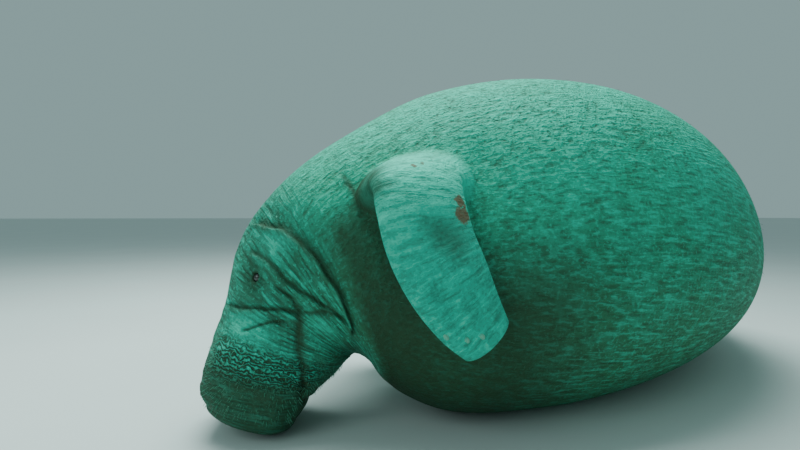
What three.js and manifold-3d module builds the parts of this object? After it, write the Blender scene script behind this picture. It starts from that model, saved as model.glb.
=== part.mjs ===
// A life-size manatee that feeds on the bottom with its muzzle down, in millimetres, +Z up.
// The head is near the origin, the body runs back along +X, its left side faces -Y,
// and the tail curves away towards +Y. It rests on its muzzle, belly and tail.
import * as THREE from "three";
import Module from "manifold-3d";

const wasm = await Module();
wasm.setup();
const { Manifold, Mesh } = wasm;

// The body, from the snout to the tail, measured along its axis.
// at: distance from the snout. pitch, heading: way the axis points, in degrees.
// tilt, roll: lean of the section and turn about the axis. half: half the width.
// up, down: from the axis to the back and to the belly. square: fullness of the corners.
const STATIONS = [
  { at: 0, pitch: -76, tilt: -76, heading: 0, roll: 8, half: 62, up: 60, down: 40, square: 2.3 },
  { at: 45, pitch: -78, tilt: -78, heading: 0, roll: 8, half: 128, up: 124, down: 70, square: 2.5 },
  { at: 100, pitch: -80, tilt: -79, heading: 0, roll: 8, half: 140, up: 148, down: 98, square: 2.5 },
  { at: 160, pitch: -80, tilt: -75, heading: 0, roll: 8, half: 138, up: 142, down: 140, square: 2.4 },
  { at: 230, pitch: -74, tilt: -62, heading: 0, roll: 8, half: 136, up: 138, down: 166, square: 2.25 },
  { at: 310, pitch: -60, tilt: -45, heading: 0, roll: 9, half: 150, up: 172, down: 196, square: 2.15 },
  { at: 400, pitch: -38, tilt: -26, heading: 1, roll: 11, half: 186, up: 203, down: 278, square: 2.1 },
  { at: 520, pitch: -17, tilt: -10, heading: 4, roll: 14, half: 246, up: 247, down: 364, square: 2.1 },
  { at: 680, pitch: -2, tilt: -1, heading: 9, roll: 16, half: 320, up: 322, down: 434, square: 2.1 },
  { at: 900, pitch: 5, tilt: 4, heading: 16, roll: 17, half: 392, up: 386, down: 450, square: 2.1 },
  { at: 1150, pitch: 8, tilt: 8, heading: 23, roll: 18, half: 426, up: 422, down: 434, square: 2.1 },
  { at: 1400, pitch: 12, tilt: 12, heading: 30, roll: 18, half: 416, up: 404, down: 392, square: 2.1 },
  { at: 1700, pitch: 16, tilt: 16, heading: 39, roll: 14, half: 352, up: 330, down: 314, square: 2.1 },
  { at: 2000, pitch: 18, tilt: 18, heading: 47, roll: 7, half: 250, up: 218, down: 214, square: 2.1 },
  { at: 2280, pitch: 17, tilt: 17, heading: 53, roll: 2, half: 172, up: 124, down: 134, square: 2.1 },
  { at: 2460, pitch: 13, tilt: 13, heading: 56, roll: 0, half: 160, up: 84, down: 88, square: 2.0 },
  { at: 2700, pitch: 8, tilt: 8, heading: 58, roll: 0, half: 270, up: 52, down: 50, square: 2.0 },
  { at: 2950, pitch: 4, tilt: 4, heading: 59, roll: 0, half: 330, up: 34, down: 32, square: 2.0 },
  { at: 3150, pitch: 1, tilt: 1, heading: 59, roll: 0, half: 250, up: 22, down: 18, square: 2.0 },
  { at: 3240, pitch: 0, tilt: 0, heading: 59, roll: 0, half: 150, up: 18, down: 14, square: 2.0 },
];
const LENGTH = 3260;
const SNOUT_HEIGHT = -1;
const SNOUT_DOME = 45;
const TAIL_DOME = 90;
const GAP = 0.3;
const ROOT_CLEARANCE = 0.4;
const FLOOR = { size: 6000, depth: 400 };

// Furrows of the head, as lines through places on the skin: distance from the snout, and
// degrees round from the back. Each is repeated on the other side.
const MOUTH = [[100, 140], [118, 129], [146, 121], [190, 111], [246, 103], [294, 99]];
const CHIN_FOLD = [[294, 99], [330, 105], [352, 110]];
const FURROWS = [
  { line: MOUTH, depth: 9, width: 11 },
  { line: CHIN_FOLD, depth: 7, width: 13 },
  { line: [[346, 44], [358, 62], [370, 74], [382, 87], [392, 101], [396, 116], [392, 130]], depth: 13, width: 21 },
  { line: [[244, 52], [262, 76], [286, 93], [294, 99]], depth: 6, width: 13 },
];
// Swellings and hollows: how far they stand out, and their reach along and round the body.
const SWELLINGS = [
  { at: 185, turn: 72, height: 11, along: 58, round: 70 },
  { at: 232, turn: 128, height: 9, along: 46, round: 46 },
  { at: 62, turn: 22, height: 6, along: 26, round: 34 },
  { at: 318, turn: 112, height: 6, along: 30, round: 50 },
  { at: 290, turn: 60, height: -7, along: 24, round: 26 },
  { at: 318, turn: 70, height: 6, along: 22, round: 40 },
  { at: 404, turn: 150, height: 22, along: 52, round: 150 },
  { at: 326, turn: 146, height: 10, along: 34, round: 80 },
];
const RELIEF_END = 540;

// The body parts, front to back. step: distance between sections. round: points on each.
const BODY_PARTS = [
  { name: "muzzle", from: 0, to: 150, step: 12, round: 56, color: 0x4f7466, rough: 0.8 },
  { name: "head", from: 150, to: 352, step: 12, round: 56, color: 0x47705f, rough: 0.8 },
  { name: "neck", from: 352, to: 450, step: 16, round: 56, color: 0x3f6a58, rough: 0.8 },
  { name: "shoulders", from: 450, to: 800, step: 36, round: 56, color: 0x4a8271, rough: 0.82 },
  { name: "barrel", from: 800, to: 1250, step: 46, round: 52, color: 0x4f8b76, rough: 0.82 },
  { name: "loin", from: 1250, to: 1760, step: 46, round: 52, color: 0x4f8b76, rough: 0.82 },
  { name: "tail_stock", from: 1760, to: 2420, step: 46, round: 48, color: 0x4a8271, rough: 0.82 },
  { name: "tail_paddle", from: 2420, to: LENGTH, step: 44, round: 44, color: 0x44796a, rough: 0.82 },
];
const DOME_RINGS = 6;
const LOOKS = {
  jaw: { color: 0x456b5b, rough: 0.8 },
  eye: { color: 0x1c2322, rough: 0.15 },
  flipper: { color: 0x57a08c, rough: 0.78 },
};

const EYE = { at: 290, turn: 60, radius: 11, sunk: 6, lidRadius: 12, lidThickness: 4.5, slack: 0.4 };
const NOSTRIL = { at: 60, turn: 17, radius: 15, slit: 3.2, arc: 150 };

// The fore-flippers. Each path point is out from the body, back and down from the root, with the
// half width and half thickness of the blade there.
const FLIPPER_ROOT = { at: 560, turn: 79 };
const LEFT_BLADE = [
  { out: -150, back: 14, down: 10, half: 78, thick: 50 },
  { out: -70, back: 4, down: 4, half: 82, thick: 52 },
  { out: 0, back: -6, down: -2, half: 84, thick: 50 },
  { out: 62, back: -12, down: 8, half: 84, thick: 46 },
  { out: 102, back: -14, down: 60, half: 84, thick: 38 },
  { out: 122, back: -2, down: 125, half: 84, thick: 29 },
  { out: 134, back: 24, down: 186, half: 80, thick: 23 },
  { out: 137, back: 60, down: 247, half: 68, thick: 18 },
  { out: 134, back: 97, down: 294, half: 54, thick: 13 },
];
const RIGHT_SWING = { back: 0.3, lift: 0.97 };
const BLADE = { rings: 20, round: 28, tip: 22, tipRings: [0.35, 0.65, 0.86, 0.97], trailing: 0.42 };
const NAILS = [
  { along: 0.88, across: -0.85 },
  { along: 0.935, across: -0.5 },
  { along: 0.965, across: -0.1 },
];
const NAIL_SIZE = { long: 13, wide: 9, thick: 5 };

const rad = THREE.MathUtils.degToRad;
const UP = new THREE.Vector3(0, 0, 1);

// A smooth curve through one column of a table, read at any place along it.
function curveThrough(rows, place, key) {
  const xs = rows.map((row) => row[place]);
  const ys = rows.map((row) => row[key]);
  const last = xs.length - 1;
  const slopes = xs.map((_, i) => {
    const before = Math.max(i - 1, 0);
    const after = Math.min(i + 1, last);
    return (ys[after] - ys[before]) / (xs[after] - xs[before]);
  });
  return (x) => {
    let i = 0;
    while (i < last - 1 && xs[i + 1] <= x) i += 1;
    const run = xs[i + 1] - xs[i];
    const t = THREE.MathUtils.clamp((x - xs[i]) / run, 0, 1);
    const rise = ys[i + 1] - ys[i];
    const start = slopes[i] * run;
    const end = slopes[i + 1] * run;
    return ys[i] + t * (start + t * (3 * rise - 2 * start - end + t * (start + end - 2 * rise)));
  };
}

const column = {};
for (const key of ["pitch", "tilt", "heading", "roll", "half", "up", "down", "square"]) {
  column[key] = curveThrough(STATIONS, "at", key);
}

// The axis, walked back from the snout in short steps.
const AXIS_STEP = 5;
function axisDirection(at) {
  const pitch = rad(column.pitch(at));
  const heading = rad(column.heading(at));
  return new THREE.Vector3(
    Math.cos(heading) * Math.cos(pitch), Math.sin(heading) * Math.cos(pitch), -Math.sin(pitch),
  );
}
const axis = [new THREE.Vector3(0, 0, SNOUT_HEIGHT)];
for (let at = 0; at < LENGTH; at += AXIS_STEP) {
  axis.push(axis.at(-1).clone().addScaledVector(axisDirection(at + AXIS_STEP / 2), AXIS_STEP));
}
function axisPoint(at) {
  const i = THREE.MathUtils.clamp(Math.floor(at / AXIS_STEP), 0, axis.length - 2);
  return axis[i].clone().lerp(axis[i + 1], at / AXIS_STEP - i);
}

// The lie of a section: its left side, its back, and the way that it faces (forward).
function sectionFrame(at) {
  const tilt = rad(column.tilt(at));
  const heading = rad(column.heading(at));
  const roll = rad(column.roll(at));
  const ahead = new THREE.Vector3(-Math.cos(heading), -Math.sin(heading), 0);
  const side = new THREE.Vector3().crossVectors(UP, ahead);
  const spineSide = ahead.clone().multiplyScalar(-Math.sin(tilt)).addScaledVector(UP, Math.cos(tilt));
  const left = side.clone().multiplyScalar(Math.cos(roll)).addScaledVector(spineSide, Math.sin(roll));
  const back = spineSide.multiplyScalar(Math.cos(roll)).addScaledVector(side, -Math.sin(roll));
  return { left, back, forward: new THREE.Vector3().crossVectors(left, back) };
}

const bump = (x) => Math.exp(-x * x);
const foldedTurn = (turn) => (turn > 180 ? 360 - turn : turn);

// Distance on the skin from a place to a furrow, in millimetres.
function distanceToLine(at, turn, line, radius) {
  const perDegree = rad(radius);
  let nearest = Infinity;
  for (let i = 0; i < line.length - 1; i += 1) {
    const [a0, t0] = line[i];
    const [a1, t1] = line[i + 1];
    const du = a1 - a0;
    const dv = (t1 - t0) * perDegree;
    const pu = at - a0;
    const pv = (turn - t0) * perDegree;
    const t = THREE.MathUtils.clamp((pu * du + pv * dv) / (du * du + dv * dv), 0, 1);
    nearest = Math.min(nearest, Math.hypot(pu - t * du, pv - t * dv));
  }
  return nearest;
}

// How far the skin stands out from the plain section here.
function relief(at, turn) {
  if (at > RELIEF_END) return 0;
  const folded = foldedTurn(turn);
  const radius = column.half(at);
  let height = 0;
  for (const s of SWELLINGS) {
    height += s.height * bump((at - s.at) / s.along) * bump((rad(folded - s.turn) * radius) / s.round);
  }
  for (const f of FURROWS) {
    height -= f.depth * bump(distanceToLine(at, folded, f.line, radius) / f.width);
  }
  return height;
}

const power = (x, exponent) => Math.sign(x) * Math.abs(x) ** exponent;

function domeTaper(at) {
  if (at < SNOUT_DOME) return Math.sqrt(1 - (1 - at / SNOUT_DOME) ** 2);
  const rest = LENGTH - at;
  return rest < TAIL_DOME ? Math.sqrt(Math.max(0, 1 - (1 - rest / TAIL_DOME) ** 2)) : 1;
}

// Sideways and upward reach of the section in its own plane, with turn in degrees from the back.
function sectionPoint(at, turn, grow = 0) {
  const place = Math.max(at, SNOUT_DOME);
  const angle = rad(turn);
  const exponent = 2 / column.square(place);
  const tall = Math.cos(angle) > 0 ? column.up(place) : column.down(place);
  let u = column.half(place) * power(Math.sin(angle), exponent);
  let v = tall * power(Math.cos(angle), exponent);
  const reach = Math.hypot(u, v);
  const swell = (reach + relief(at, turn) + grow) / reach;
  const taper = domeTaper(at);
  u *= swell * taper;
  v *= swell * taper;
  return { u, v };
}

function skinPoint(at, turn, grow = 0) {
  const { left, back } = sectionFrame(at);
  const { u, v } = sectionPoint(at, turn, grow);
  return axisPoint(at).addScaledVector(left, u).addScaledVector(back, v);
}

// Unit vector out of the skin at a place.
const NORMAL_SPAN = { along: 4, turn: 2 };
function skinNormal(at, turn) {
  const along = skinPoint(at + NORMAL_SPAN.along, turn).sub(skinPoint(at - NORMAL_SPAN.along, turn));
  const round = skinPoint(at, turn + NORMAL_SPAN.turn).sub(skinPoint(at, turn - NORMAL_SPAN.turn));
  return new THREE.Vector3().crossVectors(round, along).normalize();
}

// A closed surface through rings of points, with a middle point on each end.
function loft(rings) {
  const count = rings[0].length;
  const positions = rings.flat().flatMap((p) => [p.x, p.y, p.z]);
  const indices = [];
  for (let i = 0; i < rings.length - 1; i += 1) {
    for (let j = 0; j < count; j += 1) {
      const a = i * count + j;
      const b = i * count + ((j + 1) % count);
      indices.push(a, b, a + count, b, b + count, a + count);
    }
  }
  const ends = [[rings[0], 0, false], [rings.at(-1), (rings.length - 1) * count, true]];
  for (const [ring, start, flip] of ends) {
    const middle = ring.reduce((sum, p) => sum.add(p), new THREE.Vector3()).divideScalar(count);
    const hub = positions.length / 3;
    positions.push(middle.x, middle.y, middle.z);
    for (let j = 0; j < count; j += 1) {
      const a = start + j;
      const b = start + ((j + 1) % count);
      indices.push(hub, flip ? a : b, flip ? b : a);
    }
  }
  return toSolid(positions, indices);
}

function toSolid(positions, indices) {
  return new Manifold(new Mesh({
    numProp: 3,
    vertProperties: new Float32Array(positions),
    triVerts: new Uint32Array(indices),
  }));
}

// A three.js geometry, placed, as a solid.
function solidOf(geometry, matrix) {
  const placed = geometry.clone();
  placed.deleteAttribute("normal");
  placed.deleteAttribute("uv");
  placed.applyMatrix4(matrix);
  const merged = mergeCorners(placed);
  return toSolid(merged.positions, merged.indices);
}

function mergeCorners(geometry) {
  const source = geometry.attributes.position;
  const seen = new Map();
  const positions = [];
  const remap = [];
  for (let i = 0; i < source.count; i += 1) {
    const p = [source.getX(i), source.getY(i), source.getZ(i)];
    const key = p.map((value) => Math.round(value * 1000)).join();
    if (!seen.has(key)) {
      seen.set(key, positions.length / 3);
      positions.push(...p);
    }
    remap.push(seen.get(key));
  }
  const corners = Array.from(geometry.index.array, (i) => remap[i]);
  const indices = [];
  for (let i = 0; i < corners.length; i += 3) {
    const [a, b, c] = corners.slice(i, i + 3);
    if (a !== b && b !== c && c !== a) indices.push(a, b, c);
  }
  return { positions, indices };
}

function largestPiece(solid) {
  const pieces = solid.decompose();
  return pieces.reduce((best, piece) => (piece.volume() > best.volume() ? piece : best));
}

// A length of the body between two sections, each end drawn in by half the gap.
function ringAt(at, round, shift, grow) {
  const { forward } = sectionFrame(at);
  const ring = [];
  for (let j = 0; j < round; j += 1) {
    ring.push(skinPoint(at, (360 * j) / round, grow).addScaledVector(forward, -shift));
  }
  return ring;
}

function bodyLength({ from, to, step, round }, grow = 0) {
  const rings = [];
  const first = from === 0 ? SNOUT_DOME : from;
  const last = to === LENGTH ? LENGTH - TAIL_DOME : to;
  if (from === 0) {
    for (let k = 1; k < DOME_RINGS; k += 1) {
      rings.push(ringAt(SNOUT_DOME * (1 - Math.cos((Math.PI / 2) * (k / DOME_RINGS))), round, 0, grow));
    }
  }
  const count = Math.round((last - first) / step);
  for (let i = 0; i <= count; i += 1) {
    const shift = (i === 0 && from > 0 ? GAP / 2 : 0) - (i === count && to < LENGTH ? GAP / 2 : 0);
    rings.push(ringAt(first + ((last - first) * i) / count, round, shift, grow));
  }
  if (to === LENGTH) {
    for (let k = 1; k < DOME_RINGS; k += 1) {
      rings.push(ringAt(last + TAIL_DOME * Math.sin((Math.PI / 2) * (k / DOME_RINGS)), round, 0, grow));
    }
  }
  return loft(rings);
}

// The space that the lower jaw fills: below the mouth and the fold behind it.
const jawEdge = [...MOUTH, ...CHIN_FOLD.slice(1)].map(([at, turn]) => ({ at, turn }));
const jawTurn = curveThrough(jawEdge, "at", "turn");
const JAW_SPACE = { steps: 22, beside: 40, below: 4, frontBelow: 10 };
function jawSpace(shrink) {
  const front = MOUTH[0][0];
  const end = CHIN_FOLD.at(-1)[0];
  const rings = [];
  for (let i = 0; i <= JAW_SPACE.steps; i += 1) {
    const share = i / JAW_SPACE.steps;
    const at = front + (end - front) * share;
    const { left, back, forward } = sectionFrame(at);
    const roof = sectionPoint(at, jawTurn(at)).v - shrink;
    const wide = column.half(at) + JAW_SPACE.beside;
    const low = -(column.down(at) + JAW_SPACE.below + JAW_SPACE.frontBelow * (1 - share));
    const corner = (u, v) => axisPoint(at).addScaledVector(left, u).addScaledVector(back, v)
      .addScaledVector(forward, i === 0 ? -shrink : 0);
    rings.push([corner(wide, roof), corner(wide, low), corner(-wide, low), corner(-wide, roof)]);
  }
  return loft(rings);
}

// Places a shape on the skin, its own z axis along the outward normal.
function onSkin(at, turn, lift = 0) {
  const normal = skinNormal(at, turn);
  const ahead = sectionFrame(at).forward;
  const x = new THREE.Vector3().crossVectors(ahead, normal).normalize();
  const y = new THREE.Vector3().crossVectors(normal, x);
  const place = skinPoint(at, turn).addScaledVector(normal, lift);
  return new THREE.Matrix4().makeBasis(x, y, normal).setPosition(place);
}

function eyeCentre(side) {
  return onSkin(EYE.at, side * EYE.turn, -EYE.sunk);
}

function nostrilCut(side) {
  const arc = rad(NOSTRIL.arc);
  const slit = new THREE.TorusGeometry(NOSTRIL.radius, NOSTRIL.slit, 6, 10, arc);
  slit.rotateZ(Math.PI / 2 - arc / 2);
  return loftedTorus(slit, onSkin(NOSTRIL.at, side * NOSTRIL.turn));
}

// A part torus is open at its ends, so the slit is lofted through its own rings.
function loftedTorus(torus, matrix) {
  const { tubularSegments, radialSegments } = torus.parameters;
  const source = torus.attributes.position;
  const rings = [];
  for (let i = 0; i <= tubularSegments; i += 1) {
    const ring = [];
    for (let j = 0; j < radialSegments; j += 1) {
      const k = j * (tubularSegments + 1) + i;
      ring.push(new THREE.Vector3().fromBufferAttribute(source, k).applyMatrix4(matrix));
    }
    rings.push(ring);
  }
  return rightWayOut(rings);
}

function rightWayOut(rings) {
  const solid = loft(rings);
  return solid.volume() > 0 ? solid : loft(rings.map((ring) => [...ring].reverse()));
}

// A fore-flipper: a flattened blade along its path, thick in front and thin behind.
function flipperPath(side) {
  const root = skinPoint(FLIPPER_ROOT.at, side * FLIPPER_ROOT.turn);
  const { left, forward } = sectionFrame(FLIPPER_ROOT.at);
  const out = left.clone().setZ(0).normalize().multiplyScalar(side);
  const back = forward.clone().setZ(0).normalize().negate();
  return LEFT_BLADE.map((p) => {
    const swing = side < 0 ? RIGHT_SWING.back * Math.max(p.down, 0) : 0;
    const drop = side < 0 ? p.down * RIGHT_SWING.lift : p.down;
    const place = root.clone().addScaledVector(out, p.out);
    return place.addScaledVector(back, p.back + swing).addScaledVector(UP, -drop);
  });
}

function bladeFrames(side) {
  const points = flipperPath(side);
  const curve = new THREE.CatmullRomCurve3(points, false, "centripetal");
  const { forward } = sectionFrame(FLIPPER_ROOT.at);
  const back = forward.clone().negate();
  const last = LEFT_BLADE.length - 1;
  const rows = LEFT_BLADE.map((p, i) => ({ place: i / last, half: p.half, thick: p.thick }));
  const half = curveThrough(rows, "place", "half");
  const thick = curveThrough(rows, "place", "thick");
  return (t) => {
    const centre = curve.getPoint(t);
    const tangent = curve.getTangent(t);
    const across = back.clone().addScaledVector(tangent, -back.dot(tangent)).normalize();
    const face = new THREE.Vector3().crossVectors(tangent, across).multiplyScalar(side).normalize();
    return { centre, tangent, across, face, side, half: half(t), thick: thick(t) };
  };
}

function bladePoint(frame, angle, taper) {
  const x = Math.cos(angle);
  const thin = 1 - BLADE.trailing * (x + 1) * 0.5;
  return frame.centre.clone()
    .addScaledVector(frame.across, frame.half * taper * x)
    .addScaledVector(frame.face, frame.thick * thin * taper * Math.sin(angle));
}

function flipperBlade(side) {
  const frameAt = bladeFrames(side);
  const rings = [];
  for (let i = 0; i <= BLADE.rings; i += 1) {
    const frame = frameAt(i / BLADE.rings);
    rings.push(ringRound((angle) => bladePoint(frame, angle, 1)));
  }
  const end = frameAt(1);
  for (const share of BLADE.tipRings) {
    const beyond = { ...end, centre: end.centre.clone().addScaledVector(end.tangent, BLADE.tip * share) };
    rings.push(ringRound((angle) => bladePoint(beyond, angle, Math.sqrt(1 - share * share))));
  }
  const solid = rightWayOut(rings);
  return nailSolids(frameAt).reduce((blade, nail) => blade.add(nail), solid);
}

function ringRound(pointAt) {
  return Array.from({ length: BLADE.round }, (_, j) => pointAt((2 * Math.PI * j) / BLADE.round));
}

function nailSolids(frameAt) {
  const oval = new THREE.SphereGeometry(1, 10, 6);
  return NAILS.map(({ along, across }) => {
    const frame = frameAt(along);
    const sideways = frame.across.clone().multiplyScalar(-frame.side);
    const basis = new THREE.Matrix4().makeBasis(sideways, frame.face, frame.tangent);
    basis.scale(new THREE.Vector3(NAIL_SIZE.wide / 2, NAIL_SIZE.thick, NAIL_SIZE.long / 2));
    basis.setPosition(bladePoint(frame, Math.acos(across), 1));
    return solidOf(oval, basis);
  });
}

const floorBox = solidOf(
  new THREE.BoxGeometry(FLOOR.size, FLOOR.size, FLOOR.depth),
  new THREE.Matrix4().makeTranslation(0, 0, -FLOOR.depth / 2),
);

const model = new THREE.Group();
model.name = "manatee";

function addMesh(name, solid, color, roughness) {
  const { vertProperties, triVerts } = solid.getMesh();
  const geometry = new THREE.BufferGeometry();
  geometry.setAttribute("position", new THREE.BufferAttribute(vertProperties, 3));
  geometry.setIndex(new THREE.BufferAttribute(triVerts, 1));
  geometry.computeVertexNormals();
  const mesh = new THREE.Mesh(
    geometry,
    new THREE.MeshStandardMaterial({ color, roughness, metalness: 0, flatShading: true }),
  );
  mesh.name = name;
  model.add(mesh);
}

const SIDES = [{ side: 1, word: "left" }, { side: -1, word: "right" }];

// Body lengths, with the jaw space, the eye sockets and the nostrils cut out of the head.
const jawCut = jawSpace(-GAP / 2);
const bodySolids = new Map();
for (const part of BODY_PARTS) {
  let solid = bodyLength(part);
  if (part.name === "muzzle" || part.name === "head") solid = solid.subtract(jawCut);
  bodySolids.set(part.name, solid);
}
for (const { side } of SIDES) {
  const lid = new THREE.TorusGeometry(EYE.lidRadius, EYE.lidThickness, 8, 16);
  const socket = new THREE.SphereGeometry(EYE.radius + EYE.slack, 16, 10);
  const eyeLid = solidOf(lid, onSkin(EYE.at, side * EYE.turn));
  const head = bodySolids.get("head").add(eyeLid).subtract(solidOf(socket, eyeCentre(side)));
  bodySolids.set("head", head);
  bodySolids.set("muzzle", bodySolids.get("muzzle").subtract(nostrilCut(side)));
}
for (const part of BODY_PARTS) {
  const resting = largestPiece(bodySolids.get(part.name).subtract(floorBox));
  addMesh(part.name, resting, part.color, part.rough);
}

const headPart = BODY_PARTS.find((part) => part.name === "head");
const wholeHead = bodyLength({ ...headPart, from: 0, to: CHIN_FOLD.at(-1)[0] });
const jaw = largestPiece(wholeHead.intersect(jawSpace(GAP / 2)).subtract(floorBox));
addMesh("lower_jaw", jaw, LOOKS.jaw.color, LOOKS.jaw.rough);

for (const { side, word } of SIDES) {
  const ball = new THREE.SphereGeometry(EYE.radius, 16, 10);
  addMesh(`${word}_eye`, solidOf(ball, eyeCentre(side)), LOOKS.eye.color, LOOKS.eye.rough);
}

const shoulders = BODY_PARTS.find((part) => part.name === "shoulders");
const shoulderRoom = bodyLength(shoulders, ROOT_CLEARANCE);
for (const { side, word } of SIDES) {
  const flipper = largestPiece(flipperBlade(side).subtract(shoulderRoom));
  addMesh(`${word}_flipper`, flipper, LOOKS.flipper.color, LOOKS.flipper.rough);
}

// The origin is under the middle of the whole model, on the floor.
const middle = new THREE.Box3().setFromObject(model).getCenter(new THREE.Vector3());
model.position.set(-middle.x, -middle.y, 0);

export default model;
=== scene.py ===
"""A still, life-size manatee that feeds on the bottom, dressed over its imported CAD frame.

The skin is one closed sheet. It is wrapped round the same body sections as the CAD solids,
with the folds of the head sunk into it and the two fore-flippers drawn out of its sides.
The eyes, the nails and the bristles are pieces of their own.
"""

import math
import random

import bmesh
import bpy
import numpy as np
from bpy.props import FloatProperty, FloatVectorProperty, IntProperty, PointerProperty
from mathutils import Matrix, Vector, noise


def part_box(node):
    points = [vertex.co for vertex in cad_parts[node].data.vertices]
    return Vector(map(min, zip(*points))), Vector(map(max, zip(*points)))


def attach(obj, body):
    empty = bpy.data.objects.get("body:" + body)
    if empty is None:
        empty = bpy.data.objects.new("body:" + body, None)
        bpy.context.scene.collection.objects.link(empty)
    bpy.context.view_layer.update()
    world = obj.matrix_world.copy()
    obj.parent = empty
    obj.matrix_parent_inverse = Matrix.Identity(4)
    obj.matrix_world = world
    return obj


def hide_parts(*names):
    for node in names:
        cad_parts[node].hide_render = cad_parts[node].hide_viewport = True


bl_info = {
    "name": "Manatee",
    "version": (1, 0, 0),
    "blender": (4, 5, 0),
    "location": "3D View > Sidebar > Manatee",
    "description": "A still, life-size manatee with creased skin, nails, eyes and bristles",
    "category": "Add Mesh",
}

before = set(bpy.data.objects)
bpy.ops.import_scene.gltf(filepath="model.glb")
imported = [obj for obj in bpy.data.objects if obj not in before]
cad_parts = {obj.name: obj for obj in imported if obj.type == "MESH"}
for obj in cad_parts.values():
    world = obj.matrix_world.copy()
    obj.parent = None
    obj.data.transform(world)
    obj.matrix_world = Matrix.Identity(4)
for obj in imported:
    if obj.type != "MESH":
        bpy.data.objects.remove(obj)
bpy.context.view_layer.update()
BODY = "root"
MM = 0.001

# The CAD nodes that the skin stands for.
FLESH = (
    "muzzle", "head", "neck", "shoulders", "barrel", "loin", "tail_stock", "tail_paddle",
    "lower_jaw", "left_flipper", "right_flipper",
)

# The body, from the snout to the tail, in millimetres and degrees: place along the axis, pitch of the
# axis, lean of the section, heading of both, turn about the axis, half the width, reach to the
# back and to the belly, and fullness of the corners.
SECTION_KEYS = ("at", "pitch", "tilt", "heading", "roll", "half", "up", "down", "square")
SECTIONS = (
    (0, -76, -76, 0, 8, 62, 60, 40, 2.3),
    (45, -78, -78, 0, 8, 128, 124, 70, 2.5),
    (100, -80, -79, 0, 8, 140, 148, 98, 2.5),
    (160, -80, -75, 0, 8, 138, 142, 140, 2.4),
    (230, -74, -62, 0, 8, 136, 138, 166, 2.25),
    (310, -60, -45, 0, 9, 150, 172, 196, 2.15),
    (400, -38, -26, 1, 11, 186, 203, 278, 2.1),
    (520, -17, -10, 4, 14, 246, 247, 364, 2.1),
    (680, -2, -1, 9, 16, 320, 322, 434, 2.1),
    (900, 5, 4, 16, 17, 392, 386, 450, 2.1),
    (1150, 8, 8, 23, 18, 426, 422, 434, 2.1),
    (1400, 12, 12, 30, 18, 416, 404, 392, 2.1),
    (1700, 16, 16, 39, 14, 352, 330, 314, 2.1),
    (2000, 18, 18, 47, 7, 250, 218, 214, 2.1),
    (2280, 17, 17, 53, 2, 172, 124, 134, 2.1),
    (2460, 13, 13, 56, 0, 160, 84, 88, 2.0),
    (2700, 8, 8, 58, 0, 270, 52, 50, 2.0),
    (2950, 4, 4, 59, 0, 330, 34, 32, 2.0),
    (3150, 1, 1, 59, 0, 250, 22, 18, 2.0),
    (3240, 0, 0, 59, 0, 150, 18, 14, 2.0),
)
LENGTH = 3260
SNOUT_HEIGHT = -1
SNOUT_DOME = 45
TAIL_DOME = 90
AXIS_STEP = 5

# How close the rings of the skin lie from each place along the body on, and how many columns go
# round it.
RING_SPACING = (
    (45, 3.0), (268, 2.8), (280, 1.7), (302, 1.7), (314, 2.6), (400, 2.8), (450, 3.6),
    (520, 4.6), (650, 5.6), (760, 10.0), (1000, 20.0), (2300, 26.0), (LENGTH - TAIL_DOME, 24.0),
)
SNOUT_RINGS = 34
TAIL_RINGS = 12
COLUMNS = 240
# The columns lie closer at the height of the eye and the mouth, and wider apart at the belly.
CLOSER = {"eye": 1.9, "eye_half": 9, "mouth": 0.35, "mouth_half": 18}
WIDER = {"share": 0.4, "from": 135, "fade": 20}
# How near two places of the skin's seam lie that are welded into one, in millimetres.
WELD_DISTANCE = 0.02

# The folds of the head and neck, as lines of places on the skin: distance from the snout, and degrees
# round from the back. In millimetres, depth: how deep. sharp: width on the side towards the snout.
# slope: how far the skin takes to come back on the other side. lip: how far the edge stands out.
MOUTH_CORNER = (290, 98)
FOLDS = (
    {
        "line": ((96, 240), (96, 180), (97, 160), (100, 140), (118, 129), (150, 120)),
        "depth": 6, "sharp": 5, "slope": 8, "lip": 2,
    },
    {
        "line": ((118, 129), (146, 121), (190, 111), (246, 103), MOUTH_CORNER),
        "depth": 4, "sharp": 7, "slope": 9, "lip": 1,
    },
    {
        "line": (
            (338, 24), (346, 36), (354, 48), (366, 60), (374, 72), (383, 83), (390, 94), (392, 104),
            (388, 114), (378, 122), (360, 129),
        ),
        "depth": 11, "sharp": 3.5, "slope": 24, "lip": 5,
    },
    {
        "line": (
            (310, 44), (317, 54), (319, 64), (321, 74), (322, 84), (328, 94), (342, 105), (356, 112),
            (371, 121),
        ),
        "depth": 6, "sharp": 2.8, "slope": 8, "lip": 3,
    },
    {
        "line": ((300, 76), (303, 84), (305, 91), MOUTH_CORNER),
        "depth": 4.5, "sharp": 2.5, "slope": 4, "lip": 1.5,
    },
    {
        "line": ((230, 28), (236, 46), (248, 66), (262, 80), (276, 89), MOUTH_CORNER),
        "depth": 7, "sharp": 3, "slope": 5, "lip": 3.5,
    },
    {
        "line": ((208, 62), (220, 71), (234, 79), (248, 86), (264, 95)),
        "depth": 4, "sharp": 2.6, "slope": 4, "lip": 3,
    },
    {
        "line": (MOUTH_CORNER, (308, 104), (324, 107), (342, 110), (358, 115), (370, 121)),
        "depth": 6, "sharp": 3, "slope": 5, "lip": 3,
    },
    {
        "line": ((468, 56), (474, 64), (478, 74), (478, 88)),
        "depth": 3.5, "sharp": 3, "slope": 12, "lip": 4,
    },
)
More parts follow.
